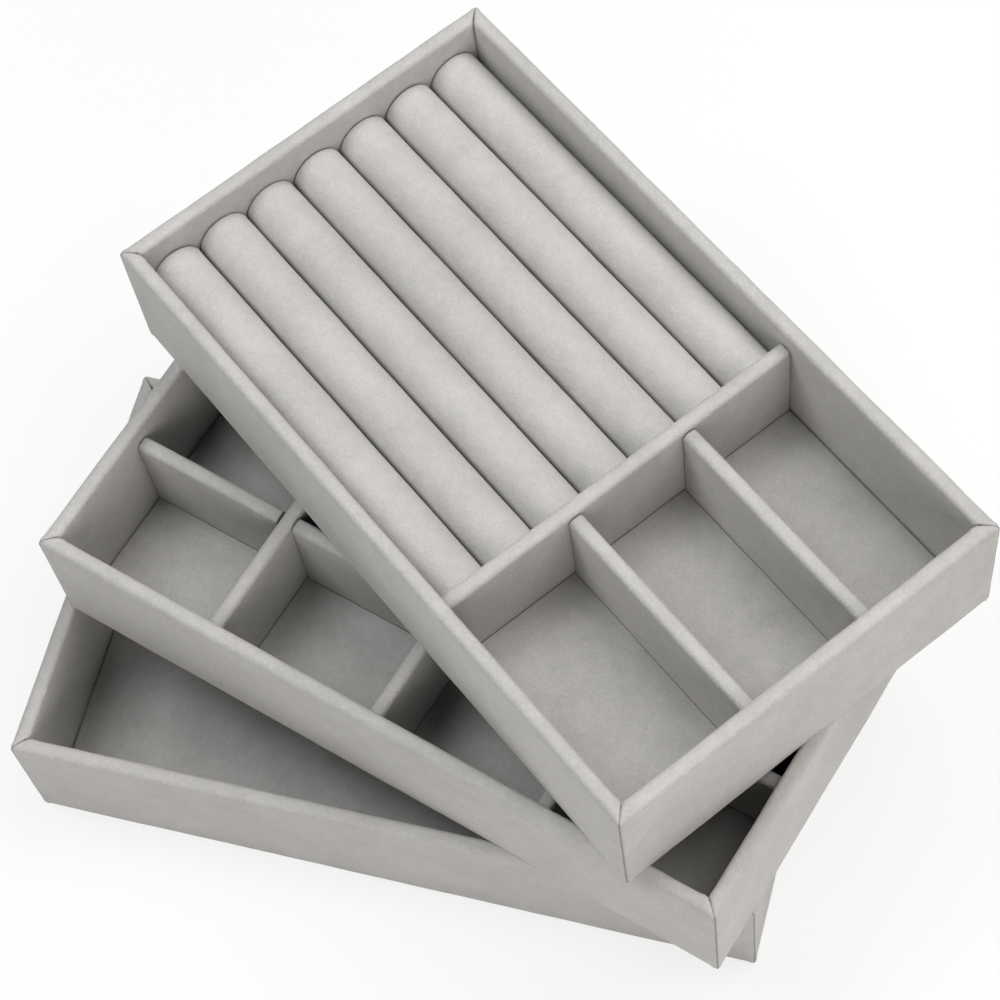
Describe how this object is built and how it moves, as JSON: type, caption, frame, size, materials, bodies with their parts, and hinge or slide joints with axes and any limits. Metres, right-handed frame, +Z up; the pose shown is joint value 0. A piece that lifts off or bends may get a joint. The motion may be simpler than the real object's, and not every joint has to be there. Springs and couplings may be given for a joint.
{
  "type": "stacking jewelry tray set",
  "caption": "Fanned stack of velvet-covered jewelry trays: a ring tray with padded rolls and bins, a divided grid tray and an open tray.",
  "frame": {"origin": "centre of the bottom tray's underside, on the surface that the stack stands on", "axes": "+X along the bottom tray's long side, +Y along its short side, +Z up"},
  "size_m": [0.2896, 0.2591, 0.144],
  "materials": {
    "velvet": "short-nap velvet",
    "floor_velvet": "short-nap velvet over a thin pad",
    "roll_velvet": "short-nap velvet over foam",
    "base_sheet": "flat felt",
    "board": "raw fibreboard",
    "foam": "open-cell foam"
  },
  "bodies": {
    "bottom_tray": {"bottom_base_sheet": "base_sheet", "bottom_base_board": "board", "bottom_floor_pad": "floor_velvet", "bottom_front_wall_board": "board", "bottom_back_wall_board": "board", "bottom_left_wall_board": "board", "bottom_right_wall_board": "board", "bottom_front_wall_cover": "velvet", "bottom_back_wall_cover": "velvet", "bottom_left_wall_cover": "velvet", "bottom_right_wall_cover": "velvet"},
    "middle_tray": {"middle_base_sheet": "base_sheet", "middle_base_board": "board", "middle_floor_pad": "floor_velvet", "middle_front_wall_board": "board", "middle_back_wall_board": "board", "middle_left_wall_board": "board", "middle_right_wall_board": "board", "middle_front_wall_cover": "velvet", "middle_back_wall_cover": "velvet", "middle_left_wall_cover": "velvet", "middle_right_wall_cover": "velvet", "middle_long_divider_1_cover": "velvet", "middle_long_divider_2_cover": "velvet", "middle_cross_divider_1_cover": "velvet", "middle_cross_divider_2_cover": "velvet", "middle_cross_divider_3_cover": "velvet", "middle_divider_boards": "board"},
    "top_tray": {"top_base_sheet": "base_sheet", "top_base_board": "board", "top_floor_pad": "floor_velvet", "top_front_wall_board": "board", "top_back_wall_board": "board", "top_left_wall_board": "board", "top_right_wall_board": "board", "top_front_wall_cover": "velvet", "top_back_wall_cover": "velvet", "top_left_wall_cover": "velvet", "top_right_wall_cover": "velvet", "top_cross_divider_board": "board", "top_cross_divider_cover": "velvet", "top_bin_divider_1_board": "board", "top_bin_divider_1_cover": "velvet", "top_bin_divider_2_board": "board", "top_bin_divider_2_cover": "velvet", "top_ring_bed": "foam"},
    "ring_roll_1": {"ring_roll_1_foam": "foam", "ring_roll_1_sleeve": "roll_velvet"},
    "ring_roll_2": {"ring_roll_2_foam": "foam", "ring_roll_2_sleeve": "roll_velvet"},
    "ring_roll_3": {"ring_roll_3_foam": "foam", "ring_roll_3_sleeve": "roll_velvet"},
    "ring_roll_4": {"ring_roll_4_foam": "foam", "ring_roll_4_sleeve": "roll_velvet"},
    "ring_roll_5": {"ring_roll_5_foam": "foam", "ring_roll_5_sleeve": "roll_velvet"},
    "ring_roll_6": {"ring_roll_6_foam": "foam", "ring_roll_6_sleeve": "roll_velvet"},
    "ring_roll_7": {"ring_roll_7_foam": "foam", "ring_roll_7_sleeve": "roll_velvet"}
  },
  "joints": [
    {"name": "middle_tray_lift", "type": "slide", "parent": "bottom_tray", "child": "middle_tray", "axis": [0, 0, 1], "range_m": [0, 0.06]},
    {"name": "top_tray_lift", "type": "slide", "parent": "middle_tray", "child": "top_tray", "axis": [0, 0, 1], "range_m": [0, 0.06]},
    {"name": "ring_roll_1_lift", "type": "slide", "parent": "top_tray", "child": "ring_roll_1", "axis": [0, 0, 1], "range_m": [0, 0.04]},
    {"name": "ring_roll_2_lift", "type": "slide", "parent": "top_tray", "child": "ring_roll_2", "axis": [0, 0, 1], "range_m": [0, 0.04]},
    {"name": "ring_roll_3_lift", "type": "slide", "parent": "top_tray", "child": "ring_roll_3", "axis": [0, 0, 1], "range_m": [0, 0.04]},
    {"name": "ring_roll_4_lift", "type": "slide", "parent": "top_tray", "child": "ring_roll_4", "axis": [0, 0, 1], "range_m": [0, 0.04]},
    {"name": "ring_roll_5_lift", "type": "slide", "parent": "top_tray", "child": "ring_roll_5", "axis": [0, 0, 1], "range_m": [0, 0.04]},
    {"name": "ring_roll_6_lift", "type": "slide", "parent": "top_tray", "child": "ring_roll_6", "axis": [0, 0, 1], "range_m": [0, 0.04]},
    {"name": "ring_roll_7_lift", "type": "slide", "parent": "top_tray", "child": "ring_roll_7", "axis": [0, 0, 1], "range_m": [0, 0.04]}
  ]
}
